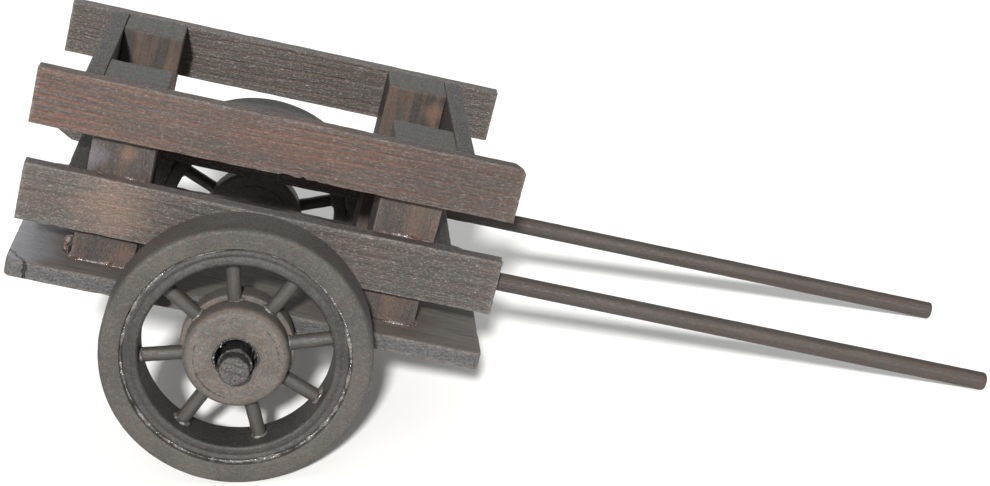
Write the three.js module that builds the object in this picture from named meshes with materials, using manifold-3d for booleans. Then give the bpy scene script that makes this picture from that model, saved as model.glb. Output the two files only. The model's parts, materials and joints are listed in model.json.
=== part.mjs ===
// Small handmade wooden garden handcart: a slatted box on two spoked wheels, pulled by two
// round shafts. Millimetres, +Z up. The cart stands as it rests when it is let go, on both
// wheels and on the tips of its shafts, with its shafts towards +X.
import * as THREE from "three";
import { mergeVertices } from "three/addons/utils/BufferGeometryUtils.js";
import Module from "manifold-3d";

const wasm = await Module();
wasm.setup();

// ---------------------------------------------------------------- driving dimensions
// Inside the cart, x runs forwards along the bed, y across it, and z up from the line
// through both wheel centres, square to the bed.
const GLUE_GAP = 0.3; // left between two pieces that are glued face to face

const STRIP_THICK = 5.5; // rails, cross slats and the bed are cut from this stock
const STRIP_HEIGHT = 18;
const POST_SIDE = 20;

const AXLE_RADIUS = 4.8;
const AXLE_HALF_LENGTH = 80.2;
const BORE_RADIUS = 6.4;
const AXLE_DROP = BORE_RADIUS - AXLE_RADIUS - GLUE_GAP; // the hubs hang on top of the axle

const BED_BOTTOM = AXLE_RADIUS - AXLE_DROP + GLUE_GAP;
const BED_TOP = BED_BOTTOM + STRIP_THICK;
const BED_REAR = -75.7;
const BED_FRONT = 76.8;
const BED_RIGHT_Y = -52.7;
const BED_LEFT_Y = 48.7; // the bed stands out less on the left

const RAIL_OUTER_Y = 46.9;
const RAIL_INNER_Y = RAIL_OUTER_Y - STRIP_THICK;
const LOWER_RAIL_Z = BED_TOP + 11.6; // underside of the lower rails and slats
const UPPER_RAIL_Z = BED_TOP + 43.2;
const POST_TOP = UPPER_RAIL_Z + STRIP_HEIGHT;
const POST_OUTER_Y = RAIL_INNER_Y - GLUE_GAP;
const REAR_POST_X = -47; // centres of the posts
const FRONT_POST_X = 44.8;

const SHAFT_RADIUS = 3;
const SHAFT_Y = 32;
const SHAFT_Z = BED_TOP + 18;
const SHAFT_TIP_X = 248;
const SHAFT_HOLE_DEPTH = 12; // how far each shaft goes into its front post
const DRILL_CLEARANCE = 0.3; // radial room round a dowel in its drilled hole

const WHEEL_RADIUS = 42.4;
const WHEEL_MID_Y = 64.85;
const TYRE_WIDTH = 17.3;
const TYRE_INNER_RADIUS = 35.7;
const RIM_OUTER_RADIUS = TYRE_INNER_RADIUS - GLUE_GAP;
const RIM_INNER_RADIUS = 30.1;
const RIM_RECESS = 0.9; // the rim's faces lie this far inside the tyre's
const HUB_OUTER_DISC_RADIUS = 16.4;
const HUB_INNER_DISC_RADIUS = 17.9;
const SPOKE_RADIUS = 2.25;
const SPOKE_START = 8.8; // inside the hub
const SPOKE_END = 32; // inside the rim
const SPOKE_ANGLES = {
  right: [19, 63, 104, 149, 196, 246, 295, 339], // drilled by eye, in degrees
  left: [22, 67, 113, 158, 203, 247, 292, 337],
};

const WHEEL_SEGMENTS = 64;
const HUB_SEGMENTS = 32;
const DOWEL_SEGMENTS = 14;
const SPOKE_SEGMENTS = 10;

// ---------------------------------------------------------------- materials
const wood = (color, roughness) => new THREE.MeshStandardMaterial({ color, roughness, metalness: 0 });

const WOOD = {
  bed: wood(0x645f5c, 0.72),
  post: wood(0x6c625b, 0.75),
  rail: wood(0x75695f, 0.7),
  upperRail: wood(0x745f55, 0.7),
  slat: wood(0x5c5752, 0.75),
  dowel: wood(0x6d625f, 0.62),
  tyre: wood(0x6e6863, 0.6),
  rim: wood(0x605c59, 0.6),
  hub: wood(0x82796f, 0.62),
  spoke: wood(0x5d5853, 0.65),
};

// ---------------------------------------------------------------- solids
function toManifold(geometry) {
  const bare = geometry.clone();
  bare.deleteAttribute("normal");
  bare.deleteAttribute("uv");
  const merged = mergeVertices(bare, 1e-4);
  return new wasm.Manifold(
    new wasm.Mesh({
      numProp: 3,
      vertProperties: new Float32Array(merged.attributes.position.array),
      triVerts: new Uint32Array(merged.index.array),
    }),
  );
}

function cut(geometry, tools) {
  let solid = toManifold(geometry);
  for (const tool of tools) {
    solid = solid.subtract(toManifold(tool));
  }
  const mesh = solid.getMesh();
  const result = new THREE.BufferGeometry();
  result.setAttribute("position", new THREE.BufferAttribute(mesh.vertProperties, 3));
  result.setIndex(new THREE.BufferAttribute(mesh.triVerts, 1));
  result.computeVertexNormals();
  return result;
}

// A rectangular bar between two opposite corners.
function bar([x0, x1], [y0, y1], [z0, z1]) {
  const geometry = new THREE.BoxGeometry(x1 - x0, y1 - y0, z1 - z0);
  geometry.translate((x0 + x1) / 2, (y0 + y1) / 2, (z0 + z1) / 2);
  return geometry;
}

// A round rod along +Y from y0 to y1, with a small chamfer on each end.
function rod(radius, y0, y1, chamfer, segments) {
  const profile = [
    [0, y0],
    [radius - chamfer, y0],
    [radius, y0 + chamfer],
    [radius, y1 - chamfer],
    [radius - chamfer, y1],
    [0, y1],
  ];
  return new THREE.LatheGeometry(
    profile.map(([r, y]) => new THREE.Vector2(r, y)),
    segments,
  );
}

// A ring round the Y axis between y0 and y1, its two outer edges rounded off.
function ring(innerRadius, outerRadius, y0, y1, round, segments) {
  const profile = [
    [innerRadius, y0],
    [outerRadius - round, y0],
    [outerRadius - round * 0.3, y0 + round * 0.3],
    [outerRadius, y0 + round],
    [outerRadius, y1 - round],
    [outerRadius - round * 0.3, y1 - round * 0.3],
    [outerRadius - round, y1],
    [innerRadius, y1],
    [innerRadius, y0],
  ];
  return new THREE.LatheGeometry(
    profile.map(([r, y]) => new THREE.Vector2(r, y)),
    segments,
  );
}

const alongX = (geometry) => geometry.rotateZ(-Math.PI / 2);

function add(group, name, geometry, material) {
  const mesh = new THREE.Mesh(geometry, material);
  mesh.name = name;
  group.add(mesh);
  return mesh;
}

// ---------------------------------------------------------------- cart box
const cart = new THREE.Group();

const SIDES = [
  { name: "right", sign: -1 },
  { name: "left", sign: 1 },
];

// Sorted [low, high] span of a range mirrored to one side of the cart.
const mirrored = (sign, near, far) => [sign * near, sign * far].sort((a, b) => a - b);

add(
  cart,
  "bed_board",
  bar([BED_REAR, BED_FRONT], [BED_RIGHT_Y, BED_LEFT_Y], [BED_BOTTOM, BED_TOP]),
  WOOD.bed,
);

// Where each shaft is drilled through the front slat and into its post.
function shaftHole(sign) {
  const start = FRONT_POST_X + POST_SIDE / 2 - SHAFT_HOLE_DEPTH;
  const end = FRONT_POST_X + POST_SIDE;
  const hole = alongX(rod(SHAFT_RADIUS + DRILL_CLEARANCE, start, end, 0.1, DOWEL_SEGMENTS));
  hole.translate(0, sign * SHAFT_Y, SHAFT_Z);
  return hole;
}

function post(x, sign) {
  const half = POST_SIDE / 2;
  const y = mirrored(sign, POST_OUTER_Y - POST_SIDE, POST_OUTER_Y);
  return bar([x - half, x + half], y, [BED_TOP + GLUE_GAP, POST_TOP]);
}

for (const { name, sign } of SIDES) {
  add(cart, `post_rear_${name}`, post(REAR_POST_X, sign), WOOD.post);
  add(cart, `post_front_${name}`, cut(post(FRONT_POST_X, sign), [shaftHole(sign)]), WOOD.post);
}

// Side rails overhang the posts at both ends; no two were sawn to quite the same length.
const SIDE_RAILS = [
  { level: "upper", side: 0, rear: -76.7, front: 77, z: UPPER_RAIL_Z, material: WOOD.upperRail },
  { level: "lower", side: 0, rear: -75.8, front: 77, z: LOWER_RAIL_Z, material: WOOD.rail },
  { level: "upper", side: 1, rear: -77, front: 74.6, z: UPPER_RAIL_Z, material: WOOD.rail },
  { level: "lower", side: 1, rear: -75.5, front: 75.5, z: LOWER_RAIL_Z, material: WOOD.rail },
];

for (const { level, side, rear, front, z, material } of SIDE_RAILS) {
  const { name, sign } = SIDES[side];
  const y = mirrored(sign, RAIL_INNER_Y, RAIL_OUTER_Y);
  add(cart, `side_rail_${level}_${name}`, bar([rear, front], y, [z, z + STRIP_HEIGHT]), material);
}

// Cross slats close the two ends of the box, between the side rails.
const slatHalfLength = RAIL_INNER_Y - GLUE_GAP;
const rearSlatFace = REAR_POST_X - POST_SIDE / 2 - GLUE_GAP;
const frontSlatFace = FRONT_POST_X + POST_SIDE / 2 + GLUE_GAP;
const SLAT_SPANS = {
  rear: [rearSlatFace - STRIP_THICK, rearSlatFace],
  front: [frontSlatFace, frontSlatFace + STRIP_THICK],
};

function crossSlat(end, z) {
  return bar(SLAT_SPANS[end], [-slatHalfLength, slatHalfLength], [z, z + STRIP_HEIGHT]);
}

add(cart, "cross_slat_rear_upper", crossSlat("rear", UPPER_RAIL_Z), WOOD.slat);
add(cart, "cross_slat_rear_lower", crossSlat("rear", LOWER_RAIL_Z), WOOD.slat);
add(cart, "cross_slat_front_upper", crossSlat("front", UPPER_RAIL_Z), WOOD.slat);
add(
  cart,
  "cross_slat_front_lower",
  cut(crossSlat("front", LOWER_RAIL_Z), SIDES.map(({ sign }) => shaftHole(sign))),
  WOOD.slat,
);

// ---------------------------------------------------------------- shafts and axle
const shaftStart = FRONT_POST_X + POST_SIDE / 2 - SHAFT_HOLE_DEPTH + GLUE_GAP;

for (const { name, sign } of SIDES) {
  const shaft = alongX(rod(SHAFT_RADIUS, shaftStart, SHAFT_TIP_X, 0.5, DOWEL_SEGMENTS));
  const mesh = add(cart, `shaft_${name}`, shaft, WOOD.dowel);
  mesh.position.set(0, sign * SHAFT_Y, SHAFT_Z);
}

const axleRod = rod(AXLE_RADIUS, -AXLE_HALF_LENGTH, AXLE_HALF_LENGTH, 0.7, 24);
const axle = add(cart, "axle", axleRod, WOOD.dowel);
axle.position.z = -AXLE_DROP;

// ---------------------------------------------------------------- wheels
// A spoke, or the hole drilled for it, standing out from the wheel centre at an angle.
function radialRod(radius, start, end, degrees) {
  const spoke = rod(radius, start, end, 0.4, SPOKE_SEGMENTS);
  spoke.rotateX(Math.PI / 2); // now along +Z
  spoke.rotateY(Math.PI / 2 - THREE.MathUtils.degToRad(degrees));
  return spoke;
}

function wheel(name, sign) {
  const group = new THREE.Group();
  group.position.y = sign * WHEEL_MID_Y;
  const half = TYRE_WIDTH / 2;
  const angles = SPOKE_ANGLES[name];
  const holes = (start, end) =>
    angles.map((angle) => radialRod(SPOKE_RADIUS + DRILL_CLEARANCE, start, end, angle));

  const tyre = ring(TYRE_INNER_RADIUS, WHEEL_RADIUS, -half, half, 1.4, WHEEL_SEGMENTS);
  add(group, `tyre_${name}`, tyre, WOOD.tyre);

  const rimHalf = half - RIM_RECESS;
  const rim = ring(RIM_INNER_RADIUS, RIM_OUTER_RADIUS, -rimHalf, rimHalf, 0.3, WHEEL_SEGMENTS);
  add(group, `rim_${name}`, cut(rim, holes(SPOKE_START, SPOKE_END + GLUE_GAP)), WOOD.rim);

  // Two hub discs clamp the spokes between them; the smaller one faces outwards.
  const hubSpan = (outward) => mirrored(sign * outward, GLUE_GAP / 2, half);
  const discs = [
    { part: "outer", radius: HUB_OUTER_DISC_RADIUS, span: hubSpan(1) },
    { part: "inner", radius: HUB_INNER_DISC_RADIUS, span: hubSpan(-1) },
  ];
  for (const { part, radius, span } of discs) {
    const disc = ring(BORE_RADIUS, radius, span[0], span[1], 1.2, HUB_SEGMENTS);
    const sockets = holes(SPOKE_START - GLUE_GAP, SPOKE_END);
    add(group, `hub_disc_${part}_${name}`, cut(disc, sockets), WOOD.hub);
  }

  angles.forEach((angle, index) => {
    const spoke = radialRod(SPOKE_RADIUS, SPOKE_START, SPOKE_END, angle);
    add(group, `spoke_${name}_${index + 1}`, spoke, WOOD.spoke);
  });
  return group;
}

for (const { name, sign } of SIDES) {
  cart.add(wheel(name, sign));
}

// ---------------------------------------------------------------- standing pose
// The nose drops until the undersides of the shaft tips reach the ground the wheels roll on.
const tipHeight = SHAFT_Z - SHAFT_RADIUS;
const tipDistance = Math.hypot(SHAFT_TIP_X, tipHeight);
const noseDown = Math.atan2(tipHeight, SHAFT_TIP_X) + Math.asin(WHEEL_RADIUS / tipDistance);
cart.rotation.y = noseDown;

const group = new THREE.Group();
group.add(cart);
const standing = new THREE.Box3().setFromObject(group, true);
cart.position.set(-(standing.min.x + standing.max.x) / 2, 0, -standing.min.z);

export default group;
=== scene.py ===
import json
import math

import bmesh
import bpy
from mathutils import Matrix, Vector, noise


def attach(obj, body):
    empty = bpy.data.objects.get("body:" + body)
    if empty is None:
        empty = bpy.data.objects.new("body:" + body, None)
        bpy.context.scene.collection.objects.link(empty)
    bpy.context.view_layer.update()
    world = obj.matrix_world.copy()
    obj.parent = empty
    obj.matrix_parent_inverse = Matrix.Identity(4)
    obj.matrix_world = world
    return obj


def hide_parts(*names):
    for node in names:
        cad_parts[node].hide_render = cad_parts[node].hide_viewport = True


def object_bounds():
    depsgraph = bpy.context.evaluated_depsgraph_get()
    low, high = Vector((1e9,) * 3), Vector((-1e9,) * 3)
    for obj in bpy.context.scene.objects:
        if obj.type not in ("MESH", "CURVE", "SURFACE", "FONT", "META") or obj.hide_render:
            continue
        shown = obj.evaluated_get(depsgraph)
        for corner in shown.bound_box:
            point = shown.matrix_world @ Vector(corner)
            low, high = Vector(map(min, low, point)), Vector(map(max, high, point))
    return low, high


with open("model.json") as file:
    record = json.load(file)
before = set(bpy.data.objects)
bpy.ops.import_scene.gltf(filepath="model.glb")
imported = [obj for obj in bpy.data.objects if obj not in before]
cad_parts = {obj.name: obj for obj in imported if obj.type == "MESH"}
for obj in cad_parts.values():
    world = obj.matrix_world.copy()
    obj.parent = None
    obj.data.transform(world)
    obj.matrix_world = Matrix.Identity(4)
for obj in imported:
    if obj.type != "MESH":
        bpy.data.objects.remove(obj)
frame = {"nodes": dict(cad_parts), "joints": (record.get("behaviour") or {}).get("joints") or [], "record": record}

CAD_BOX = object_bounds()
MM = 0.001

# ------------------------------------------------------------------ the cart's own frame
# In the cart's frame x runs forwards along the bed, y to the left, z away from the bed, and
# the origin is on the line through both wheel centres.
JOINTS = {joint["name"]: joint for joint in frame["joints"]}
MOUNTS = {mount["name"]: mount for mount in frame["record"]["mounts"]}
WHEEL_CENTRE = Vector(JOINTS["wheel_right_spin"]["pos_m"])
BED_NORMAL = Vector(MOUNTS["top_edge_right"]["axis"])
NOSE_DOWN = math.atan2(BED_NORMAL.x, BED_NORMAL.z)
CART = Matrix.Translation((WHEEL_CENTRE.x, 0, WHEEL_CENTRE.z)) @ Matrix.Rotation(NOSE_DOWN, 4, "Y")
SIDES = {"right": -1, "left": 1}


def cart_box(node):
    """Lowest and highest corner of a CAD node in the cart's frame."""
    to_cart = CART.inverted()
    points = [to_cart @ vertex.co for vertex in frame["nodes"][node].data.vertices]
    low = Vector([min(point[axis] for point in points) for axis in range(3)])
    high = Vector([max(point[axis] for point in points) for axis in range(3)])
    return low, high


def half_size(node):
    low, high = cart_box(node)
    return (high - low) / 2


def outer_radius(node):
    return half_size(node).x


def inner_radius(node):
    """Smallest distance of a ring-shaped CAD node from the wheel axis."""
    to_cart = CART.inverted()
    points = [to_cart @ vertex.co for vertex in frame["nodes"][node].data.vertices]
    return min(math.hypot(point.x, point.z) for point in points)


# ------------------------------------------------------------------ node materials
def srgb(red, green, blue):
    """A display colour, 0 to 255 a channel, as the linear colour that shaders take."""
    def linear(value):
        value /= 255
        return value / 12.92 if value <= 0.04045 else ((value + 0.055) / 1.055) ** 2.4
    return (linear(red), linear(green), linear(blue), 1.0)


class Paint:
    """Builds one node material. Each method adds a node and returns its output."""

    def __init__(self, name):
        self.material = bpy.data.materials.new(name)
        self.material.use_nodes = True
        self.tree = self.material.node_tree
        self.shader = self.tree.nodes["Principled BSDF"]

    def add(self, kind, inputs, output=0, **settings):
        node = self.tree.nodes.new(kind)
        for key, value in settings.items():
            setattr(node, key, value)
        for key, value in inputs.items():
            if isinstance(value, bpy.types.NodeSocket):
                self.tree.links.new(value, node.inputs[key])
            else:
                node.inputs[key].default_value = value
        return node.outputs[output]

    def place(self, seed):
        """Object coordinates in millimetres, moved so that no two pieces share a pattern."""
        point = self.add("ShaderNodeTexCoord", {}, "Object")
        shift = (seed * 37.7, seed * 91.3, seed * 53.9)
        scale = (1 / MM,) * 3
        return self.add("ShaderNodeMapping", {"Vector": point, "Location": shift, "Scale": scale})

    def face(self, axis):
        """How squarely the surface faces along one local axis, 0 to 1."""
        normal = self.add("ShaderNodeTexCoord", {}, "Normal")
        parts = self.add("ShaderNodeSeparateXYZ", {"Vector": normal}, axis)
        return self.math("ABSOLUTE", parts)

    def scaled(self, vector, x, y, z):
        return self.add("ShaderNodeMapping", {"Vector": vector, "Scale": (x, y, z)})

    def noise(self, vector, scale=1.0, detail=2.0, roughness=0.5, distortion=0.0):
        inputs = {"Vector": vector, "Scale": scale, "Detail": detail,
                  "Roughness": roughness, "Distortion": distortion}
        return self.add("ShaderNodeTexNoise", inputs)

    def math(self, operation, first, second=0.0, third=0.0):
        inputs = {0: first, 1: second, 2: third}
        if operation in ("ABSOLUTE", "SINE"):
            inputs = {0: first}
        elif operation != "MULTIPLY_ADD":
            inputs = {0: first, 1: second}
        return self.add("ShaderNodeMath", inputs, operation=operation)

    def step(self, value, low, high, to_low=0.0, to_high=1.0):
        """Smooth step of a value between low and high."""
        inputs = {"Value": value, "From Min": low, "From Max": high,
                  "To Min": to_low, "To Max": to_high}
        return self.add("ShaderNodeMapRange", inputs, interpolation_type="SMOOTHSTEP")

    def mix(self, factor, first, second, blend="MIX"):
        inputs = {0: factor, 6: first, 7: second}
        return self.add("ShaderNodeMix", inputs, 2, data_type="RGBA", blend_type=blend)

    def tinted(self, colour, point):
        """Small drifts of hue, warm and cool, as in unevenly stained wood."""
        blotch = self.noise(self.scaled(point, 0.5, 0.9, 0.9), 1.0, 4.0, 0.7)
        tint = self.mix(self.step(blotch, 0.35, 0.65), (0.84, 1.0, 1.04, 1.0), (1.18, 0.98, 0.92, 1.0))
        return self.mix(1.0, colour, tint, "MULTIPLY")

    def bump(self, height, distance):
        return self.add("ShaderNodeBump", {"Height": height, "Distance": distance, "Strength": 1.0})

    def attribute(self, name):
        return self.add("ShaderNodeAttribute", {}, "Fac", attribute_name=name)

    def part(self, vector, axis):
        return self.add("ShaderNodeSeparateXYZ", {"Vector": vector}, axis)

    def spot(self, centre, radius, seed):
        """Soft-edged patch round a local point, both in millimetres."""
        point = self.add("ShaderNodeTexCoord", {}, "Object")
        inputs = {"Vector": point, "Scale": (1 / MM,) * 3, "Location": [-value for value in centre]}
        local = self.add("ShaderNodeMapping", inputs)
        distance = self.add("ShaderNodeVectorMath", {0: local}, "Value", operation="LENGTH")
        ragged = self.noise(self.scaled(local, 0.12, 0.3, 0.3), 1.0, 4.0)
        edge = self.math("MULTIPLY_ADD", ragged, radius * 1.1, distance)
        return self.step(edge, radius * 0.7, radius * 1.6, 1.0, 0.0)

    def finish(self, colour, roughness, normal, **sockets):
        links = {"Base Color": colour, "Roughness": roughness, "Normal": normal}
        for key, value in links.items():
            if isinstance(value, bpy.types.NodeSocket):
                self.tree.links.new(value, self.shader.inputs[key])
            else:
                self.shader.inputs[key].default_value = value
        for key, value in sockets.items():
            self.shader.inputs[key.replace("_", " ")].default_value = value
        return self.material


def growth_lines(paint, point, ring, axis):
    """Late wood, 0 to 1, in lines that repeat across one local axis and bend a little."""
    bend = paint.noise(paint.scaled(point, 0.010, 0.03, 0.03), 1.0, 1.0)
    tremble = paint.noise(paint.scaled(point, 0.06, 0.3, 0.3), 1.0, 2.0)
    across = paint.part(point, axis)
    turns = paint.math("MULTIPLY_ADD", across, 2 * math.pi / ring, paint.math("MULTIPLY", bend, 18.0))
    turns = paint.math("MULTIPLY_ADD", tremble, 1.6, turns)
    late = paint.step(paint.math("SINE", turns), 0.0, 1.0)
    patchy = paint.noise(paint.scaled(point, 0.02, 0.12, 0.12), 1.0, 3.0)
    return paint.math("MULTIPLY", late, paint.step(patchy, 0.34, 0.55, 0.2, 1.0))


def end_grain(paint, point, late, colour, dark, middle):
    """Thirsty, darker wood where the surface is cut across the grain."""
    pores = paint.noise(paint.scaled(point, 1.5, 1.5, 1.5), 1.0, 4.0, 0.7)
    cut = paint.mix(paint.step(pores, 0.35, 0.65), dark, middle)
    cut = paint.mix(paint.math("MULTIPLY", late, 0.45), cut, dark)
    return paint.mix(paint.step(paint.face("X"), 0.6, 0.9), colour, cut)


def stained_wood(name, tones, seed, ring=2.8, ring_colour=None, ring_amount=0.5, lines_on="Z",
                 speckle_and_glint=0.6, warm=None, warm_amount=0.0, spots=(), sheen=0.6, relief=0.12,
                 end_tones=None):
    """Stained softwood with its grain along local X. tones are the dark, middle and light
    colours, ring the distance between growth lines and relief the depth of the fibres, both
    in millimetres, and spots a list of (centre, radius, colour, amount) stains. The light
    colour also paints highlights: its pale strokes and flecks stand for glints of light on
    the raised fibres."""
    dark, middle, light = tones
    paint = Paint(name)
    point = paint.place(seed)
    late = growth_lines(paint, point, ring, lines_on)

    # fibres: faint long streaks, and short broken flecks that catch the light; their pale colour is a painted
    # highlight, the glints on the raised fibres
    streak = paint.noise(paint.scaled(point, 0.09, 1.9, 1.9), 1.0, 4.0, 0.6)
    stroke = paint.noise(paint.scaled(point, 1.1, 2.1, 2.1), 1.0, 5.0, 0.75, 0.5)
    glint_fleck = paint.noise(paint.scaled(point, 0.9, 2.2, 2.2), 1.2, 4.0, 0.7, 0.8)
    cloud = paint.noise(paint.scaled(point, 0.035, 0.09, 0.09), 1.0, 3.0)

    # stain, its warm drifts, the growth lines and single stains
    colour = paint.mix(paint.step(streak, 0.25, 0.75, 0.25, 0.9), dark, middle)
    colour = paint.mix(paint.step(cloud, 0.38, 0.7, 0.0, 0.5), colour, dark)
    if warm is not None:
        glow = paint.noise(paint.scaled(point, 0.022, 0.16, 0.16), 1.0, 3.0)
        colour = paint.mix(paint.step(glow, 0.45, 0.68, 0.0, warm_amount), colour, warm)
    if ring_colour is not None:
        colour = paint.mix(paint.math("MULTIPLY", late, ring_amount), colour, ring_colour)
    for index, (centre, radius, stain, amount) in enumerate(spots):
        patch = paint.math("MULTIPLY", paint.spot(centre, radius, index), amount)
        colour = paint.mix(patch, colour, stain)
    colour = paint.tinted(colour, point)
    # painted highlight: pale strokes and flecks stand for glints of light on the fibres; the dark strokes after
    # them are grain
    colour = paint.mix(paint.step(stroke, 0.50, 0.72, 0.0, speckle_and_glint * 0.7), colour, light)
    colour = paint.mix(paint.step(glint_fleck, 0.57, 0.70, 0.0, speckle_and_glint), colour, light)
    colour = paint.mix(paint.step(stroke, 0.48, 0.30, 0.0, speckle_and_glint * 1.5), colour, dark)

    # bare, slightly paler edges
    wear = paint.math("MULTIPLY", paint.attribute("edge"), paint.step(stroke, 0.35, 0.7))
    colour = paint.mix(paint.math("MULTIPLY", wear, 0.3), colour, light)
    colour = end_grain(paint, point, late, colour, *(end_tones or (dark, middle)))

    roughness = paint.step(glint_fleck, 0.4, 0.68, sheen + 0.12, sheen - 0.28)
    height = paint.math("MULTIPLY_ADD", late, -0.4, paint.math("ADD", streak, stroke))
    normal = paint.bump(height, relief * MM * 2.4)
    return paint.finish(colour, roughness, normal, Specular_IOR_Level=0.45)


def scuff(paint, point, radius, mottle, scuff_radius):
    """A broken dark band, 0 to 1, where something rubbed at one distance from the axis."""
    off = paint.math("ABSOLUTE", paint.math("SUBTRACT", radius, scuff_radius))
    off = paint.math("MULTIPLY_ADD", mottle, 1.6, off)
    band = paint.step(off, 0.75, 1.15, 1.0, 0.0)
    broken = paint.noise(paint.scaled(point, 0.06, 0.06, 0.06), 1.0, 5.0, 0.7)
    return paint.math("MULTIPLY", band, paint.step(broken, 0.47, 0.55))


def turned_wood(name, tones, seed, marks, sheen=0.6, scuff_radius=None):
    """Fine-grained wood turned round local Y: faint tool rings, pores and grime. scuff_radius
    is in millimetres."""
    dark, middle, light = tones
    paint = Paint(name)
    point = paint.place(seed)
    local = paint.add("ShaderNodeTexCoord", {}, "Object")
    flat = paint.add("ShaderNodeMapping", {"Vector": local, "Scale": (1 / MM, 0, 1 / MM)})
    radius = paint.add("ShaderNodeVectorMath", {0: flat}, "Value", operation="LENGTH")
    waver = paint.noise(paint.scaled(point, 0.05, 0.05, 0.05), 1.0, 2.0)
    tool = paint.math("MULTIPLY_ADD", radius, 5.2, paint.math("MULTIPLY", waver, 9.0))
    tool = paint.step(paint.math("SINE", tool), -0.6, 1.0)

    grime = paint.noise(paint.scaled(point, 0.07, 0.07, 0.07), 1.0, 4.0, 0.6)
    mottle = paint.noise(paint.scaled(point, 0.55, 0.8, 0.8), 1.0, 5.0, 0.7, 0.6)
    pores = paint.noise(paint.scaled(point, 1.7, 1.7, 1.7), 1.0, 4.0, 0.8)

    colour = paint.mix(paint.step(grime, 0.3, 0.7), dark, middle)
    colour = paint.mix(paint.step(mottle, 0.45, 0.75, 0.0, 0.5), colour, light)
    colour = paint.mix(paint.step(mottle, 0.45, 0.25, 0.0, 0.5), colour, dark)
    colour = paint.mix(paint.math("MULTIPLY", tool, marks * 0.35), colour, dark)
    colour = paint.tinted(colour, point)
    colour = paint.mix(paint.step(pores, 0.52, 0.68, 0.0, 0.8), colour, light)
    colour = paint.mix(paint.step(pores, 0.46, 0.30, 0.0, 0.9), colour, dark)
    if scuff_radius is not None:
        rubbed = scuff(paint, point, radius, mottle, scuff_radius)
        colour = paint.mix(paint.math("MULTIPLY", rubbed, 0.85), colour, SOOT)
    roughness = paint.step(pores, 0.3, 0.7, sheen + 0.12, sheen - 0.12)
    height = paint.math("MULTIPLY_ADD", tool, marks * 0.4, paint.math("ADD", pores, mottle))
    normal = paint.bump(height, 0.154 * MM)
    return paint.finish(colour, roughness, normal, Specular_IOR_Level=0.4)


def dried_glue(name, clear, dirty, seed):
    """Hard shiny glue that took up the stain unevenly."""
    paint = Paint(name)
    point = paint.place(seed)
    cloud = paint.noise(paint.scaled(point, 0.35, 0.35, 0.35), 1.0, 3.0)
    fine = paint.noise(paint.scaled(point, 0.8, 0.8, 0.8), 1.0, 3.0, 0.5)
    colour = paint.mix(paint.step(cloud, 0.35, 0.65), dirty, clear)
    roughness = paint.step(cloud, 0.3, 0.7, 0.12, 0.32)
    normal = paint.bump(fine, 1.0 * MM)
    return paint.finish(colour, roughness, normal, Specular_IOR_Level=0.6, Coat_Weight=0.5)


# dark, middle and light tones of each wood, dark and middle tones of end grain, and stains; in the stained woods
# the light tone also paints highlights, glints on the fibres
GREY = (srgb(50, 47, 44), srgb(78, 73, 69), srgb(158, 153, 149))
RED = (srgb(52, 43, 39), srgb(75, 65, 59), srgb(146, 138, 132))
BROWN = (srgb(42, 38, 36), srgb(64, 58, 55), srgb(124, 117, 113))
SHADED = (srgb(35, 33, 31), srgb(54, 51, 48), srgb(96, 91, 86))
DULL = (srgb(40, 38, 36), srgb(60, 57, 53), srgb(96, 91, 86))
SHADED_END = (srgb(46, 45, 40), srgb(84, 83, 75))
TAUPE = (srgb(52, 50, 47), srgb(63, 60, 56), srgb(90, 86, 81))
PALE_TAUPE = (srgb(66, 62, 58), srgb(80, 75, 70), srgb(106, 101, 94))
DEEP_TAUPE = (srgb(34, 33, 31), srgb(47, 45, 43), srgb(76, 73, 70))
AXLE = (srgb(20, 19, 18), srgb(44, 41, 39), srgb(116, 111, 108))
AXLE_END = (srgb(34, 32, 31), srgb(86, 82, 80))
SPOKE = (srgb(48, 46, 43), srgb(66, 63, 59), srgb(96, 91, 86))
DOWEL = (srgb(42, 38, 36), srgb(59, 54, 50), srgb(90, 84, 80))
RUST = srgb(82, 60, 50)
ORANGE = srgb(98, 76, 62)
PALE_ORANGE = srgb(108, 88, 76)
LATE_RED = srgb(86, 56, 43)
# painted reflection: a pale bluish patch of glare on a film of glue
GLUE_FILM_GLARE = srgb(116, 112, 122)
BLOOD = srgb(58, 26, 20)
SOOT = srgb(22, 21, 23)
WAX = (srgb(40, 38, 40), srgb(16, 15, 16))


def bed_split(paint, point, local):
    """The dark split across the near rear corner of the bed, 0 to 1."""
    across = paint.add("ShaderNodeVectorMath", {0: local, 1: SPLIT_ACROSS}, "Value",
                       operation="DOT_PRODUCT")
    waver = paint.noise(paint.scaled(point, 0.5, 0.5, 0.5))
    place = paint.math("MULTIPLY_ADD", waver, 1.6 * MM, across)
    off = paint.math("ABSOLUTE", paint.math("SUBTRACT", place, SPLIT_DISTANCE))
    return paint.step(off, 0.25 * MM, 0.6 * MM, 1.0, 0.0)


def bed_film(paint, local, cloud, face):
    """The film of glue and polish on the rear of the bed's faces, 0 to 1: the mask of its gloss and of its painted
    blue-grey reflection.
    """
    ragged = paint.math("MULTIPLY_ADD", cloud, 26 * MM, paint.part(local, "X"))
    film_and_glare = paint.step(ragged, REAR_FILM_END - 4 * MM, REAR_FILM_END + 10 * MM, 1.0, 0.0)
    return paint.math("MULTIPLY", film_and_glare, face)


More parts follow.
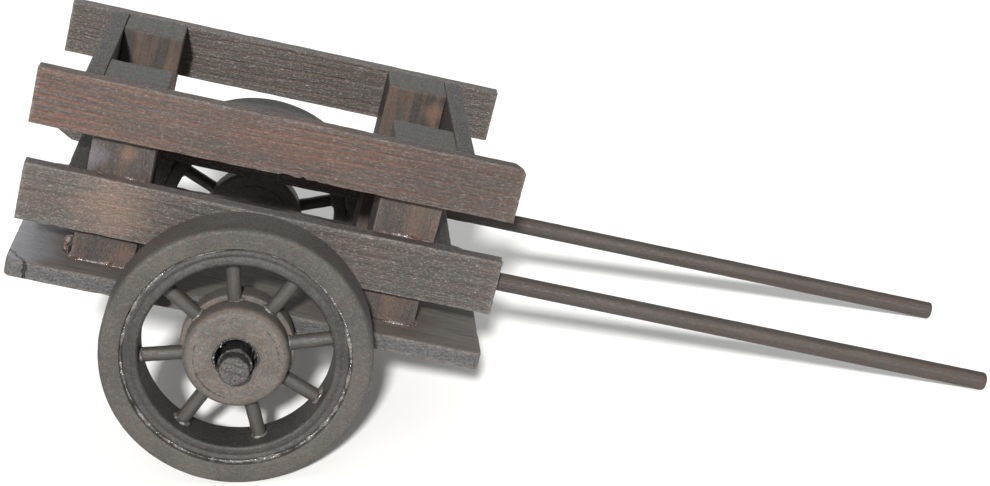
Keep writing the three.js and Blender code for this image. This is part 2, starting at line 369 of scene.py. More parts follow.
def bed_material():
    """The bed: a smooth dark face that is glossy at the rear, with a painted blue-grey reflection there, and rough
    sawn edges.
    """
    paint = Paint("bed_wood")
    point = paint.place(1)
    local = paint.add("ShaderNodeTexCoord", {}, "Object")
    streak = paint.noise(paint.scaled(point, 0.08, 1.1, 1.1), 1.0, 4.0, 0.6)
    stroke = paint.noise(paint.scaled(point, 0.9, 2.4, 2.4), 1.0, 5.0, 0.75, 0.4)
    fine = paint.noise(paint.scaled(point, 2.4, 2.4, 2.4), 1.0, 4.0, 0.7)
    cloud = paint.noise(paint.scaled(point, 0.05, 0.07, 0.07), 1.0, 3.0)
    face = paint.step(paint.face("Z"), 0.6, 0.9)

    smooth = paint.mix(paint.step(streak, 0.3, 0.7), srgb(70, 66, 62), srgb(94, 89, 84))
    smooth = paint.mix(paint.step(cloud, 0.4, 0.7, 0.0, 0.5), smooth, srgb(78, 68, 60))
    smooth = paint.mix(paint.step(fine, 0.6, 0.78, 0.0, 0.35), smooth, srgb(128, 124, 119))
    sawn = paint.mix(paint.step(stroke, 0.34, 0.66), srgb(38, 37, 38), srgb(82, 81, 82))
    sawn = paint.mix(paint.step(fine, 0.56, 0.74, 0.0, 0.6), sawn, srgb(150, 149, 150))
    colour = paint.mix(face, sawn, smooth)
    edge = paint.math("MULTIPLY", paint.attribute("edge"), paint.step(stroke, 0.35, 0.6))
    colour = paint.mix(paint.math("MULTIPLY", edge, 0.55), colour, srgb(120, 110, 102))
    split = bed_split(paint, point, local)
    colour = paint.mix(split, colour, srgb(24, 20, 18))
    film_and_glare = bed_film(paint, local, cloud, face)
    # painted reflection: the glossy film at the rear is tinted pale blue-grey like the glare on it
    colour = paint.mix(paint.math("MULTIPLY", film_and_glare, 0.35), colour, srgb(84, 86, 98))

    plain = paint.step(fine, 0.25, 0.75, 0.72, 0.5)
    roughness = paint.add("ShaderNodeMix", {0: film_and_glare, 2: plain, 3: 0.27}, 0)
    rough_height = paint.mix(face, stroke, paint.math("MULTIPLY", streak, 0.25))
    height = paint.math("SUBTRACT", rough_height, paint.math("MULTIPLY", split, 2.0))
    return paint.finish(colour, roughness, paint.bump(height, 0.35 * MM), Specular_IOR_Level=0.5)


# ------------------------------------------------------------------ mesh tools
def new_piece(name, vertices, faces):
    mesh = bpy.data.meshes.new(name)
    mesh.from_pydata(vertices, [], faces)
    mesh.validate()
    mesh.update()
    piece = bpy.data.objects.new(name, mesh)
    bpy.context.scene.collection.objects.link(piece)
    return piece


def outward(piece):
    """Turns every face outwards, joins doubled points and shades the piece smooth."""
    work = bmesh.new()
    work.from_mesh(piece.data)
    bmesh.ops.remove_doubles(work, verts=work.verts, dist=0.002 * MM)
    bmesh.ops.recalc_face_normals(work, faces=work.faces)
    work.to_mesh(piece.data)
    work.free()
    piece.data.polygons.foreach_set("use_smooth", [True] * len(piece.data.polygons))


def stops(length, edge, step):
    """Grid positions along one side of a board, closer together in its rounded edges."""
    inner = length / 2 - edge
    count = max(2, round(2 * inner / step))
    middle = [inner * (2 * index / count - 1) for index in range(count + 1)]
    rounding = [length / 2 - edge * share for share in (0.7, 0.4, 0.15, 0)]
    return [-value for value in reversed(rounding)] + middle + rounding


def worn_point(point, half, edge, seed, fibre, chips):
    """A point of a plain board, moved for its rounding, raised fibres and chips, and how near
    it is to an edge, 0 to 1."""
    core = Vector([max(-half[axis] + edge, min(half[axis] - edge, point[axis])) for axis in range(3)])
    direction = (point - core).normalized()
    depths = sorted(half[axis] - abs(point[axis]) for axis in range(3))
    near_edge = math.exp(-((depths[1] / (0.8 * MM)) ** 2))
    x, y, z = point / MM + Vector((seed * 17.0, seed * 5.0, seed * 11.0))
    raised = noise.noise(Vector((x * 0.07, y * 0.9, z * 0.9)))
    raised += 0.5 * noise.noise(Vector((x * 0.3, y * 2.1, z * 2.1)))
    nick = max(0.0, noise.noise(Vector((x * 0.16, y * 0.4, z * 0.4))) - 0.12)
    drop = near_edge * (nick * chips + 0.03)
    moved = core + direction * (edge + (raised * fibre - drop) * MM)
    moved.z += noise.noise(Vector((x * 0.035, seed, 0.0))) * 0.12 * MM
    return moved, near_edge


def board(name, size, seed, edge=0.38 * MM, step=(1.3 * MM, 0.7 * MM), fibre=0.07, chips=0.35,
          shape=None):
    """A sawn board with its grain along local X: rounded, chipped edges and raised fibres.
    fibre and chips are heights in millimetres; shape moves a point of the plain board."""
    grid = [stops(size[0], edge, step[0]), stops(size[1], edge, step[1]), stops(size[2], edge, step[1])]
    last = [len(line) - 1 for line in grid]
    half = [side / 2 for side in size]
    index_of = {}
    vertices = []
    edge_wear = []

    def vertex(key):
        if key not in index_of:
            index_of[key] = len(vertices)
            plain = Vector([grid[axis][key[axis]] for axis in range(3)])
            moved, near_edge = worn_point(plain, half, edge, seed, fibre, chips)
            vertices.append(shape(moved) if shape else moved)
            edge_wear.append(near_edge)
        return index_of[key]

    faces = []
    for axis in range(3):
        first, second = [other for other in range(3) if other != axis]
        for end in (0, last[axis]):
            for i in range(last[first]):
                for j in range(last[second]):
                    corners = []
                    for di, dj in ((0, 0), (1, 0), (1, 1), (0, 1)):
                        key = [0, 0, 0]
                        key[axis], key[first], key[second] = end, i + di, j + dj
                        corners.append(vertex(tuple(key)))
                    faces.append(corners)
    piece = new_piece(name, vertices, faces)
    wear = piece.data.attributes.new("edge", "FLOAT", "POINT")
    wear.data.foreach_set("value", edge_wear)
    outward(piece)
    return piece


def arc(centre, radius, start, end, count):
    """Points on a round corner of a profile, angles in degrees."""
    points = []
    for index in range(count + 1):
        angle = math.radians(start + (end - start) * index / count)
        points.append((centre[0] + radius * math.cos(angle), centre[1] + radius * math.sin(angle)))
    return points


def turned(name, profile, segments, seed, axis="Y", closed=True, wobble=0.08, dents=0.05):
    """A profile of (distance from the axis, place along it) turned round the axis, with the
    small unevenness of hand work. wobble and dents are in millimetres."""
    vertices = []
    count = len(profile)
    for turn in range(segments):
        angle = 2 * math.pi * turn / segments
        cosine, sine = math.cos(angle), math.sin(angle)
        for radius, along in profile:
            spot = Vector((cosine * 1.4, sine * 1.4, seed * 3.1))
            run = noise.noise(spot) * wobble * MM
            fine = Vector((cosine * radius, along, sine * radius)) / MM
            dent = noise.noise(fine * 0.35 + Vector((seed * 9.0, 0, 0))) * dents * MM
            out = radius + (run + dent if radius > 0 else 0)
            place = along + run * 0.6
            if axis == "Y":
                vertices.append((out * cosine, place, out * sine))
            else:
                vertices.append((place, out * cosine, out * sine))
    faces = []
    pairs = count if closed else count - 1
    for turn in range(segments):
        following = (turn + 1) % segments
        for index in range(pairs):
            next_index = (index + 1) % count
            faces.append((turn * count + index, following * count + index,
                          following * count + next_index, turn * count + next_index))
    piece = new_piece(name, vertices, faces)
    outward(piece)
    return piece


def finish_piece(piece, matrix, material, body, nodes=()):
    """Puts a piece in place, paints it, and ties it to its CAD body."""
    piece.matrix_world = matrix
    piece.data.materials.append(material)
    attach(piece, body)
    if nodes:
        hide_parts(*nodes)


# ------------------------------------------------------------------ boards
GRAIN = {
    "x": Matrix.Identity(4),
    "y": Matrix.Rotation(math.pi / 2, 4, "Z"),
    "z": Matrix.Rotation(-math.pi / 2, 4, "Y"),
}
GROW = 0.10 * MM  # each board closes most of the CAD's glue gap
RAIL_RISE = 0.7 * MM


def wooden(node, grain, material, slot, seed, **details):
    """A board in the place of a CAD node, its grain along one axis of the cart."""
    low, high = cart_box(node)
    turn = GRAIN[grain]
    size = turn.inverted().to_3x3() @ (high - low)
    size = [abs(side) + 2 * GROW for side in size]
    piece = board(node + "_wood", size, seed, **details)
    matrix = CART @ Matrix.Translation((low + high) / 2) @ turn
    finish_piece(piece, matrix, material, "cart_frame", [node])


def corner_clip(x_sign, side_axis, side_sign, half, cut):
    """Returns a shape rule that saws one corner off a board; half and cut are (x, side)."""
    def clip(point):
        x = (point.x * x_sign - half[0] + cut[0]) / cut[0]
        side = (point[side_axis] * side_sign - half[1] + cut[1]) / cut[1]
        if x > 0 and side > 0 and x + side > 1:
            point = point.copy()
            total = x + side
            point.x = x_sign * (half[0] - cut[0] + cut[0] * x / total)
            point[side_axis] = side_sign * (half[1] - cut[1] + cut[1] * side / total)
        return point
    return clip


BED_HALF = half_size("bed_board")
SPLIT_ACROSS = Vector((-0.80, -0.60, 0))  # square to the split, towards the near rear corner
CORNER_TO_SPLIT = 4.2 * MM
SPLIT_DISTANCE = SPLIT_ACROSS.dot(Vector((-BED_HALF.x, -BED_HALF.y, 0))) - CORNER_TO_SPLIT
REAR_FILM_END = -BED_HALF.x + 24 * MM


def bed_shape(point):
    """The bed's right corners are knocked off a little and its left ones are cut across."""
    half = (BED_HALF.x + GROW, BED_HALF.y + GROW)
    right_rear = corner_clip(-1, 1, -1, half, (1.6 * MM, 2.6 * MM))
    right_front = corner_clip(1, 1, -1, half, (1.2 * MM, 1.6 * MM))
    left_rear = corner_clip(-1, 1, 1, half, (7 * MM, 2.6 * MM))
    left_front = corner_clip(1, 1, 1, half, (9 * MM, 2.8 * MM))
    return left_front(left_rear(right_front(right_rear(point))))


def build_bed():
    wooden("bed_board", "x", bed_material(), "bed_wood", 1, edge=0.45 * MM,
           step=(1.2 * MM, 0.9 * MM), fibre=0.05, chips=0.9, shape=bed_shape)


def torn_shape(rule, low_edge, start, end):
    """Adds a splintered stretch to a board's lower edge, from start to end along it."""
    def torn(point):
        run = min(point.x - start, end - point.x) / (3 * MM)
        height = 1 - (point.z - low_edge) / (2.4 * MM)
        if run > 0 and height > 0:
            splinter = noise.noise(Vector((point.x / MM * 0.5, 7.0, point.y / MM * 0.2)))
            splinter += noise.noise(Vector((point.x / MM * 2.3, 3.0, point.y / MM)))
            point = point.copy()
            point.z += min(run, 1) * height * max(0.0, splinter + 0.2) * 0.75 * MM
        return rule(point)
    return torn


def rising_shape(half):
    """Makes a board taller towards its rear end, by up to RAIL_RISE."""
    def rising(point):
        point.z += RAIL_RISE * max(0, -point.x / half.x) * max(0, point.z / half.z)
        return point
    return rising


def build_rails():
    half = half_size("side_rail_upper_right")
    red = stained_wood("rail_red", RED, 2, ring=2.7, ring_colour=LATE_RED, ring_amount=0.95,
                       warm=RUST, warm_amount=0.45, speckle_and_glint=0.42,
                       spots=[((half.x / MM * 0.75, -half.y / MM, 0), 40, RED[0], 0.7)])
    clip = corner_clip(1, 2, 1, (half.x + GROW, half.z + GROW), (3.4 * MM, 1.6 * MM))
    torn = torn_shape(clip, -half.z, -8 * MM, 18 * MM)
    wooden("side_rail_upper_right", "x", red, "red_rail_wood", 2, chips=0.45, shape=torn)

    half = half_size("side_rail_lower_right")
    stains = [((-half.x / MM * 0.62, -half.y / MM, 1), 16, PALE_ORANGE, 0.6),
              ((half.x / MM * 0.75, -half.y / MM, 0), 34, BROWN[0], 0.45)]
    brown = stained_wood("rail_brown", GREY, 3, ring=3.4, ring_colour=BROWN[0], ring_amount=0.5,
                         warm=RUST, warm_amount=0.3, speckle_and_glint=0.5, spots=stains)
    wooden("side_rail_lower_right", "x", brown, "rail_wood", 3, chips=0.4, shape=rising_shape(half))

    grey = stained_wood("rail_grey", GREY, 4, ring=3.2, ring_colour=LATE_RED, ring_amount=0.25,
                        speckle_and_glint=0.85, sheen=0.46, relief=0.22)
    wooden("side_rail_upper_left", "x", grey, "rail_wood", 4)
    half = half_size("side_rail_lower_left")
    askew = corner_clip(-1, 2, -1, (half.x + GROW, half.z + GROW), (7 * MM, 4 * MM))
    wooden("side_rail_lower_left", "x", grey, "rail_wood", 5, shape=askew)


def build_slats():
    dull = stained_wood("slat_dull", DULL, 6, ring=3.0, ring_colour=DULL[0], ring_amount=0.4,
                        speckle_and_glint=0.35, relief=0.08)
    for index, end in enumerate(("rear_upper", "rear_lower", "front_upper", "front_lower")):
        wooden(f"cross_slat_{end}", "y", dull, "slat_wood", 6 + index)


def build_posts():
    face = half_size("post_rear_right").y / MM
    # the pale bluish patch on the rear right post is a painted reflection, glare on a film of glue
    stains = {"rear_right": [((4, -face, face * 0.85), 6, GLUE_FILM_GLARE, 0.42),
                             ((7, -face, -2), 4, ORANGE, 0.8),
                             ((-2, -face, -face), 4.5, BLOOD, 0.75),
                             ((-26, -face, -7), 4, ORANGE, 0.5),
                             ((-30, -face, -face), 4, BLOOD, 0.6)],
              "front_left": [((24, -face, -face * 0.7), 5, ORANGE, 0.8)]}
    for index, end in enumerate(("rear_right", "rear_left", "front_right", "front_left")):
        tones = BROWN if end.endswith("right") else SHADED
        streaked = stained_wood(f"post_{end}", tones, 11 + index, ring=4.6, ring_colour=ORANGE,
                                ring_amount=0.3, warm=ORANGE, warm_amount=0.4, speckle_and_glint=0.5,
                                lines_on="Z" if index % 2 else "Y", end_tones=SHADED_END,
                                spots=stains.get(end, ()))
        wooden(f"post_{end}", "z", streaked, "post_wood", 11 + index, edge=0.5 * MM,
               step=(1.0 * MM, 0.8 * MM))


# ------------------------------------------------------------------ dowels
WAX_BEAD = 0.6 * MM
WAX_OUTSIDE_HUB = 1.3 * MM


def dowel_profile(radius, start, end, rounding, step):
    """Half outline of a round rod from end to end, with softened ends."""
    points = [(0.0, start), (radius * 0.5, start)]
    points += arc((radius - rounding, start + rounding), rounding, -90, 0, 4)
    count = max(2, round((end - start) / step))
    for index in range(1, count):
        points.append((radius, start + (end - start) * index / count))
    points += arc((radius - rounding, end - rounding), rounding, 0, 90, 4)
    points += [(radius * 0.5, end), (0.0, end)]
    return points


def build_shafts():
    smooth = stained_wood("dowel_smooth", DOWEL, 20, ring=2.2, ring_colour=srgb(62, 44, 36),
                          ring_amount=0.5, speckle_and_glint=0.3, sheen=0.62, relief=0.06)
    for index, side in enumerate(SIDES):
        low, high = cart_box(f"shaft_{side}")
        half = (high - low) / 2
        profile = dowel_profile(half.z, -half.x, half.x, 0.7 * MM, 3 * MM)
        piece = turned(f"shaft_{side}_wood", profile, 40, 20 + index, axis="X", closed=False)
        matrix = CART @ Matrix.Translation((low + high) / 2)
        finish_piece(piece, matrix, smooth, "cart_frame", [f"shaft_{side}"])


def build_axle():
    sawn = stained_wood("axle_sawn", AXLE, 24, ring=2.4, speckle_and_glint=0.4, sheen=0.4, end_tones=AXLE_END)
    low, high = cart_box("axle")
    half = (high - low) / 2
    profile = dowel_profile(half.z, -half.y, half.y, 0.9 * MM, 3 * MM)
    piece = turned("axle_wood", profile, 56, 24, axis="X", closed=False, dents=0.12)
    matrix = CART @ Matrix.Translation((low + high) / 2) @ GRAIN["y"]
    finish_piece(piece, matrix, sawn, "cart_frame", ["axle"])

    # a ring of hard wax on each end of the axle keeps the wheel on
    rings = []
    for side, sign in SIDES.items():
        face = max(abs(corner.y) for corner in cart_box(f"hub_disc_outer_{side}"))
        place = Matrix.Translation((sign * (face + WAX_OUTSIDE_HUB), 0, 0))
        rings.append(bead(collar(place, half.z, 60), WAX_BEAD, 25 + sign, True))
    piece = beads_piece("wax_on_axle", rings)
    wax = dried_glue("wax", *WAX, 35)
    finish_piece(piece, matrix, wax, "cart_frame")


# ------------------------------------------------------------------ dried glue
FOOT_BEAD = 0.85 * MM
RAIL_BEAD = 0.8 * MM
CURL_BEAD = 0.9 * MM
CURL_BULGE = 1.8 * MM
CURL_HEIGHT = 7.2 * MM


def bead(path, radius, seed, closed=False, lumps=0.28, sides=10):
    """Vertices and faces of an uneven bead of glue along a path. lumps is how often it swells,
    per millimetre."""
    vertices = []
    count = len(path)
    for index, centre in enumerate(path):
        before = path[index - 1] if index or closed else path[0]
        after = path[(index + 1) % count] if index < count - 1 or closed else path[-1]
        along = (after - before).normalized()
        first = along.cross(Vector((0.31, 0.42, 0.85))).normalized()
        second = along.cross(first)
        spot = centre / MM * lumps + Vector((seed * 4.0, seed * 2.0, 0))
        swell = 0.85 + 1.1 * noise.noise(spot) + 0.25 * noise.noise(spot * 3.1)
        taper = 1.0 if closed else min(1.0, 0.15 + min(index, count - 1 - index) / 3)
        thick = radius * max(0.25, swell) * taper
        for side in range(sides):
            angle = 2 * math.pi * side / sides
            bump = 1 + 0.15 * noise.noise(spot * 2 + Vector((math.cos(angle), math.sin(angle), 3)))
            offset = first * math.cos(angle) + second * math.sin(angle)
            vertices.append(centre + offset * thick * bump)
    faces = []
    for index in range(count if closed else count - 1):
        following = (index + 1) % count
        for side in range(sides):
            other = (side + 1) % sides
            faces.append((index * sides + side, index * sides + other,
                          following * sides + other, following * sides + side))
    if not closed:
        faces.append(tuple(range(sides)))
        faces.append(tuple((count - 1) * sides + side for side in range(sides)))
    return vertices, faces


def beads_piece(name, beads):
    """One mesh from several beads."""
    vertices, faces = [], []
    for bead_vertices, bead_faces in beads:
        start = len(vertices)
        vertices += bead_vertices
        faces += [tuple(start + index for index in face) for face in bead_faces]
    piece = new_piece(name, vertices, faces)
    outward(piece)
    return piece


def drift(place):
    """A small sideways drift, up to 1 each way, that changes smoothly with the place."""
    return Vector([noise.noise(place + Vector((0, 0, 50 * axis))) for axis in range(3)])


def line(start, end, step=0.5 * MM):
    """Points from start to end, with a little waver."""
    count = max(3, round((end - start).length / step))
    points = []
    for index in range(count + 1):
        point = start.lerp(end, index / count)
        points.append(point + drift(point / MM * 0.25) * 0.25 * MM)
    return points


def post_foot_beads(corners, height, seed):
    """Beads round the foot of a post."""
    beads = []
    for number, (x, y) in enumerate(corners):
        next_x, next_y = corners[(number + 1) % len(corners)]
        path = line(Vector((x, y, height)), Vector((next_x, next_y, height)))
        beads.append(bead(path, FOOT_BEAD, seed + number))
    return beads


def rail_beads(rear, front, y, heights, seed):
    """Beads where a post's outer face meets the edges of the rails."""
    beads = []
    for height in heights:
        path = line(Vector((rear + 1 * MM, y, height)), Vector((front - 1 * MM, y, height)))
        beads.append(bead(path, RAIL_BEAD, seed))
    return beads


def foot_curl(foot, seed):
    """A run of glue that curls up the rear of a post."""
    steps = 12
    path = []
    for index in range(steps + 1):
        share = index / steps
        path.append(foot + Vector((-CURL_BULGE * math.sin(math.pi * share), 0, CURL_HEIGHT * share)))
    return bead(path, CURL_BEAD, seed)


def build_frame_glue():
    beads = []
    bed_top = cart_box("bed_board")[1].z
    seed = 80
    for side, sign in SIDES.items():
        rails = [cart_box(f"side_rail_{level}_{side}") for level in ("lower", "upper")]
        for end in ("rear", "front"):
            low, high = cart_box(f"post_{end}_{side}")
            outer, inner = (low.y, high.y) if sign < 0 else (high.y, low.y)
            corners = [(low.x, inner), (low.x, outer), (high.x, outer), (high.x, inner)]
            beads += post_foot_beads(corners, bed_top, seed)
            edges = [height for rail in rails for height in (rail[1].z, rail[0].z)]
            open_edges = [height for height in edges if height <= high.z - 1 * MM]
            beads += rail_beads(low.x, high.x, outer + sign * 0.1 * MM, open_edges, seed + 7)
            seed += 10
    low, high = cart_box("post_rear_right")
    beads.append(foot_curl(Vector((low.x - 0.4 * MM, low.y + 1.5 * MM, bed_top)), seed))
    piece = beads_piece("glue_on_frame", beads)
    glue = dried_glue("glue_frame", srgb(98, 90, 90), srgb(76, 50, 40), 81)
    finish_piece(piece, CART, glue, "cart_frame")


def circle(radius, along, count):
    return [Vector((radius * math.cos(2 * math.pi * index / count), along,
                    radius * math.sin(2 * math.pi * index / count))) for index in range(count)]


def collar(place, radius, count=20):
    """A closed ring of points round local X at a place given by a matrix."""
    angles = [2 * math.pi * index / count for index in range(count)]
    return [place @ Vector((0, radius * math.cos(angle), radius * math.sin(angle))) for angle in angles]


# ------------------------------------------------------------------ wheels
SPOKES = sum(name.startswith("spoke_right_") for name in frame["nodes"])
TREAD_INSET = 0.12 * MM  # keeps the uneven tread above the floor
SEAM_BEAD = 0.95 * MM
SMEAR_BEAD = 0.75 * MM
SMEARED_DEGREES = ((12, 62), (188, 238), (252, 290))
GREASE_BEAD = 0.35 * MM
RIM_SOCKET_BEAD = 0.8 * MM
HUB_SOCKET_BEAD = 0.5 * MM


def outer_wall(radius, half_width, steps=10):
    """Points across the outer face of a ring, between its rounded edges."""
    return [(radius, half_width * (2 * index / steps - 1)) for index in range(1, steps)]


def tyre_profile(inner, outer, half_width):
    """Outline of the tyre, outward face at +half_width."""
    tread, bore = 1.7 * MM, 0.5 * MM
    points = arc((inner + bore, -half_width + bore), bore, 180, 270, 4)
    points += arc((outer - tread, -half_width + tread), tread, -90, 0, 6)
    points += outer_wall(outer, half_width - tread)
    points += arc((outer - tread, half_width - tread), tread, 0, 90, 6)
    points += arc((inner + bore, half_width - bore), bore, 90, 180, 4)
    return points


def rim_profile(inner, outer, half_width):
    """Outline of the rim, with a rounded step down to the tyre and a turned groove beside it."""
    bore, depth, groove = 1.0 * MM, 1.5 * MM, 0.35 * MM
    flat = outer - 1.7 * MM
    points = arc((inner + bore, -half_width + bore), bore, 180, 270, 4)
    points += [(flat - 0.3 * MM, -half_width)]
    points += arc((flat, -half_width + depth), depth, -90, -8, 5)
    points += [(outer, -half_width + depth)]
    points += outer_wall(outer, half_width - depth)
    points += [(outer, half_width - depth)]
    points += arc((flat, half_width - depth), depth, 8, 90, 5)
    points += [(flat - 0.1 * MM, half_width), (flat - 0.7 * MM, half_width - groove),
               (flat - 1.2 * MM, half_width - groove), (flat - 1.7 * MM, half_width)]
    points += arc((inner + bore, half_width - bore), bore, 90, 180, 4)
    return points


def disc_profile(bore, radius, half_width, rounding):
    """Outline of a hub disc from the spokes' middle outwards."""
    foot, mouth, seam = 0.6 * MM, 0.3 * MM, 0.05 * MM
    points = [(bore, seam), (radius - foot, seam)]
    points += arc((radius - foot, foot + seam), foot, -90, 0, 3)
    points += [(radius, half_width * 0.5)]
    points += arc((radius - rounding, half_width - rounding), rounding, 0, 90, 8)
    points += [(bore + 3 * MM, half_width)]
    points += arc((bore + mouth, half_width - mouth), mouth, 90, 180, 3)
    points += [(bore, half_width * 0.5)]
    return points


def wheel_place(side):
    """Matrix of a wheel centre in world directions, with local +Y pointing out of the cart."""
    low, high = cart_box(f"tyre_{side}")
    middle = CART @ Vector((0, (low.y + high.y) / 2, 0))
    facing = Matrix.Identity(4) if SIDES[side] > 0 else Matrix.Rotation(math.pi, 4, "Z")
    return Matrix.Translation(middle) @ facing


def reach_along(node, place, angle):
    """Nearest and farthest distance of a CAD node from a wheel's centre, along a spoke's angle."""
    direction = Vector((math.cos(angle), 0, math.sin(angle)))
    to_wheel = place.inverted()
    reaches = [direction.dot(to_wheel @ vertex.co) for vertex in frame["nodes"][node].data.vertices]
    return min(reaches), max(reaches)


def build_rings(side, place, materials, seed):
    tyre, rim = f"tyre_{side}", f"rim_{side}"
    tread_radius = outer_radius(tyre) - TREAD_INSET
    profile = tyre_profile(inner_radius(tyre), tread_radius, half_size(tyre).y)
    piece = turned(tyre + "_wood", profile, 240, seed, wobble=0.12)
    finish_piece(piece, place, materials["tyre"], f"wheel_{side}", [tyre])

    outer = inner_radius(tyre) - 0.05 * MM
    profile = rim_profile(inner_radius(rim), outer, half_size(rim).y)
    piece = turned(rim + "_wood", profile, 240, seed + 1, wobble=0.15)
    finish_piece(piece, place, materials["rim"], f"wheel_{side}", [rim])


def build_hub(side, place, materials, seed):
    half = half_size(f"tyre_{side}").y
    bore = inner_radius(f"hub_disc_outer_{side}")
    for part, direction, rounding in (("outer", 1, 2.6 * MM), ("inner", -1, 1.6 * MM)):
        disc = f"hub_disc_{part}_{side}"
        outline = disc_profile(bore, outer_radius(disc), half, rounding)
        profile = [(radius, direction * y) for radius, y in outline]
        piece = turned(disc + "_wood", profile, 160, seed + 2, wobble=0.15)
        finish_piece(piece, place, materials["hub"], f"wheel_{side}", [disc])
    mouths = [bead(circle(bore + 0.45 * MM, end * half, 90), GREASE_BEAD, seed + 3, True)
              for end in (-1, 1)]
    grease = beads_piece(f"grease_{side}", mouths)
    finish_piece(grease, place, materials["grease"], f"wheel_{side}")


def seam_beads(side, seed):
    """Glue in the seams between rim and tyre, thicker along some stretches of the outer one."""
    seam_radius = inner_radius(f"tyre_{side}") - 0.2 * MM
    rim_half = half_size(f"rim_{side}").y
    beads = [bead(circle(seam_radius - 0.2 * MM, end * (rim_half - 1.2 * MM), 300), SEAM_BEAD,
                  seed, True, lumps=0.16) for end in (-1, 1)]
    ring = circle(seam_radius - 0.4 * MM, rim_half - 0.5 * MM, 360)
    for start, end in SMEARED_DEGREES:
        beads.append(bead(ring[start:end], SMEAR_BEAD, seed + 9, lumps=0.4))
    return beads


def build_spoke(side, number, place, material, seed):
    """Builds one spoke and returns the beads of glue round its two ends."""
    spoke = f"spoke_{side}_{number}"
    low, high = cart_box(spoke)
    centre = place.inverted() @ CART @ ((low + high) / 2)
    angle = math.atan2(centre.z, centre.x)
    start, end = reach_along(spoke, place, angle)
    thick = (high.y - low.y) / 2
    half_length = (end - start) / 2
    profile = dowel_profile(thick, -half_length, half_length, 0.4 * MM, 2 * MM)
    piece = turned(spoke + "_wood", profile, 28, seed + 4 + number, axis="X", closed=False,
                   wobble=0.1, dents=0.1)
    spin = Matrix.Rotation(-angle, 4, "Y")
    matrix = place @ spin @ Matrix.Translation(((start + end) / 2, 0, 0))
    finish_piece(piece, matrix, material, f"wheel_{side}", [spoke])

    rim_wall = inner_radius(f"rim_{side}") - 0.2 * MM
    hub_wall = outer_radius(f"hub_disc_outer_{side}") + 0.1 * MM
    beads = []
    for distance, size in ((rim_wall, RIM_SOCKET_BEAD), (hub_wall, HUB_SOCKET_BEAD)):
        socket = spin @ Matrix.Translation((distance, 0, 0))
        beads.append(bead(collar(socket, thick), size, seed + number - 1, True))
    return beads


def build_wheel(side, materials, seed):
    place = wheel_place(side)
    build_rings(side, place, materials, seed)
    build_hub(side, place, materials, seed)
    beads = seam_beads(side, seed)
    for number in range(1, SPOKES + 1):
        beads += build_spoke(side, number, place, materials["spoke"], seed)
    glue = beads_piece(f"glue_on_wheel_{side}", beads)
    finish_piece(glue, place, materials["glue"], f"wheel_{side}")


def build_wheels():
    materials = {
        "tyre": turned_wood("tyre_turned", TAUPE, 30, marks=0.3),
        "rim": turned_wood("rim_turned", DEEP_TAUPE, 31, marks=0.3, sheen=0.5),
        "hub": turned_wood("hub_turned", PALE_TAUPE, 32, marks=0.35, scuff_radius=13.2),
        "spoke": stained_wood("spoke_dowel", SPOKE, 33, ring=2.0, speckle_and_glint=0.3, relief=0.05),
        "glue": dried_glue("glue_wheel", srgb(98, 94, 90), srgb(54, 50, 48), 34),
        "grease": dried_glue("grease", *WAX, 35),
    }
    for side, seed in (("right", 40), ("left", 60)):
        build_wheel(side, materials, seed)


# ------------------------------------------------------------------ stage, light, camera
CAMERA_PLACE = Vector((-45.0, -631.5, 279.9)) * MM
CAMERA_AZIMUTH = math.radians(1.62)
CAMERA_ELEVATION = math.radians(18.70)
CAMERA_ROLL = math.radians(-2.28)
CAMERA_LENS = 71.68
CAMERA_SHIFT = (0.0758, -0.0434)
KEY_AZIMUTH = math.radians(-4)
KEY_ELEVATION = math.radians(27)
KEY_SPREAD = math.radians(4)
KEY_ENERGY = 5.9
KEY_COLOUR = (1.0, 0.99, 0.97)
WINDOW_PLACE = (0.0, 1.7, 0.75)  # behind the cart; it shines on the faces that slope away
WINDOW_SIZE = 1.1
WINDOW_ENERGY = 3.6
WINDOW_COLOUR = (0.92, 0.96, 1.0)
ROOM_LIGHT = 0.45
FLOOR_HALF = 6.0


def camera_axes():
    forward = Vector((math.sin(CAMERA_AZIMUTH) * math.cos(CAMERA_ELEVATION),
                      math.cos(CAMERA_AZIMUTH) * math.cos(CAMERA_ELEVATION),
                      -math.sin(CAMERA_ELEVATION)))
    level = forward.cross(Vector((0, 0, 1))).normalized()
    rise = level.cross(forward)
    right = level * math.cos(CAMERA_ROLL) + rise * math.sin(CAMERA_ROLL)
    return right, right.cross(forward), forward


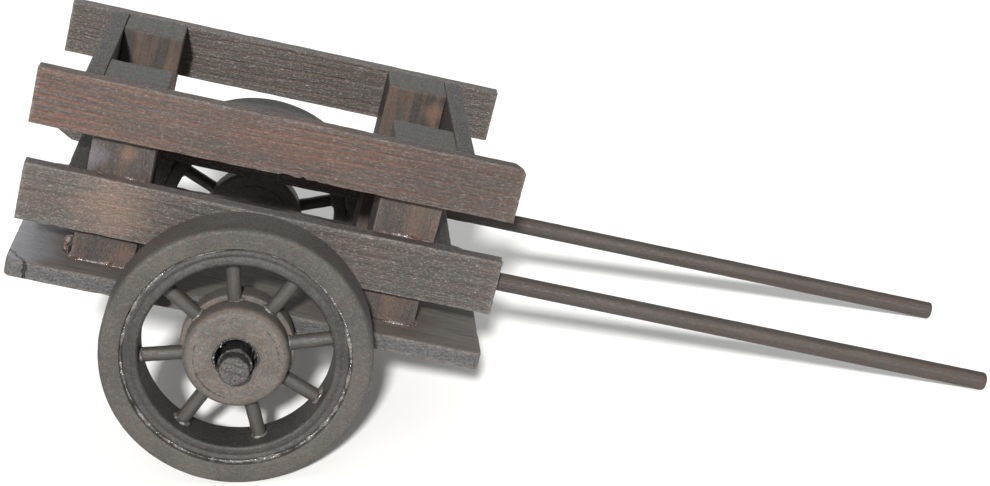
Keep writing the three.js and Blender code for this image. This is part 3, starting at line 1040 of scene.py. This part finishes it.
def build_camera():
    right, above, forward = camera_axes()
    data = bpy.data.cameras.new("camera")
    data.sensor_width = 36
    data.lens = CAMERA_LENS
    data.shift_x, data.shift_y = CAMERA_SHIFT
    data.clip_start = 0.01
    camera = bpy.data.objects.new("camera", data)
    bpy.context.scene.collection.objects.link(camera)
    turn = Matrix((right, above, -forward)).transposed().to_4x4()
    camera.matrix_world = Matrix.Translation(CAMERA_PLACE) @ turn
    bpy.context.scene.camera = camera


def lamp(name, kind, place, target, **settings):
    data = bpy.data.lights.new(name, kind)
    for key, value in settings.items():
        setattr(data, key, value)
    light = bpy.data.objects.new(name, data)
    bpy.context.scene.collection.objects.link(light)
    light.location = place
    light.rotation_euler = (Vector(target) - Vector(place)).to_track_quat("-Z", "Y").to_euler()


def build_floor():
    floor_paint = Paint("floor_paint")
    cloud = floor_paint.noise(floor_paint.place(0), 0.004, 3.0)
    tone = floor_paint.mix(cloud, srgb(245, 245, 243), srgb(249, 249, 248))
    floor_material = floor_paint.finish(tone, 0.9, floor_paint.bump(cloud, 0.01 * MM))
    corners = [(x * FLOOR_HALF, y * FLOOR_HALF, 0) for x, y in ((-1, -1), (1, -1), (1, 1), (-1, 1))]
    floor = new_piece("floor", corners, [(0, 1, 2, 3)])
    floor.data.materials.append(floor_material)


def build_lights():
    middle = Vector((0, 0, CAD_BOX[1][2] / 2))
    key_place = middle + Vector((math.sin(KEY_AZIMUTH) * math.cos(KEY_ELEVATION),
                                 -math.cos(KEY_AZIMUTH) * math.cos(KEY_ELEVATION),
                                 math.sin(KEY_ELEVATION)))
    lamp("key", "SUN", key_place, middle, energy=KEY_ENERGY, angle=KEY_SPREAD, color=KEY_COLOUR)
    lamp("window", "AREA", WINDOW_PLACE, middle, energy=WINDOW_ENERGY, size=WINDOW_SIZE,
         color=WINDOW_COLOUR)
    world = bpy.data.worlds.new("room")
    world.use_nodes = True
    world.node_tree.nodes["Background"].inputs["Color"].default_value = (1, 1, 1, 1)
    world.node_tree.nodes["Background"].inputs["Strength"].default_value = ROOM_LIGHT
    bpy.context.scene.world = world
    bpy.context.scene.view_settings.view_transform = "Standard"


build_camera()
build_bed()
build_rails()
build_slats()
build_posts()
build_shafts()
build_axle()
build_wheels()
build_frame_glue()
build_floor()
build_lights()
